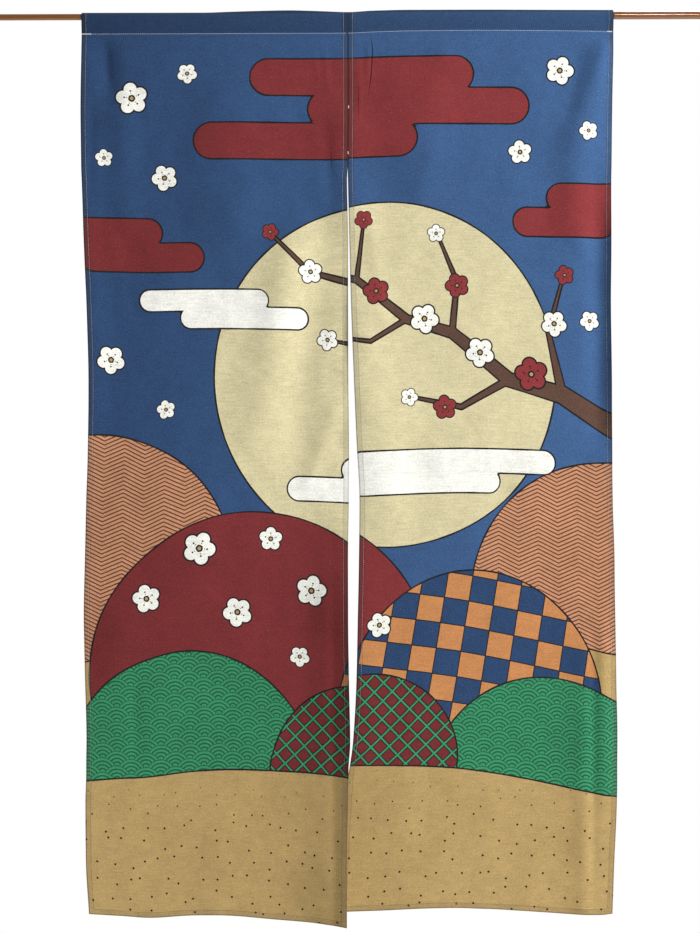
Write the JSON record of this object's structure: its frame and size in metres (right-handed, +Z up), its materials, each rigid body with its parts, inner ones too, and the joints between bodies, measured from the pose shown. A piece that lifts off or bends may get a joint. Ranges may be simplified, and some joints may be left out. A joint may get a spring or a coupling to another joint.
{
  "type": "noren curtain on a rod",
  "caption": "Long doorway curtain of cloth panels sewn edge to edge above a centre slit, with hems and a rod pocket, hanging in soft folds on a thin round rod.",
  "frame": {"origin": "the middle of the rod's axis, from which its supports hold the whole", "axes": "+Z up, the cloth's drop; +X along the rod, to the viewer's right as the printed face is seen; the printed face looks along -Y"},
  "size_m": [1.2, 0.0308, 1.4916],
  "materials": {
    "printed_cotton": "screen-printed slub cotton, matt, the print showing paler on the back",
    "enamelled_rod": "brown gloss enamel"
  },
  "bodies": {
    "root": {"panel_left": "printed_cotton", "panel_right": "printed_cotton", "rod": "enamelled_rod"}
  },
  "joints": []
}
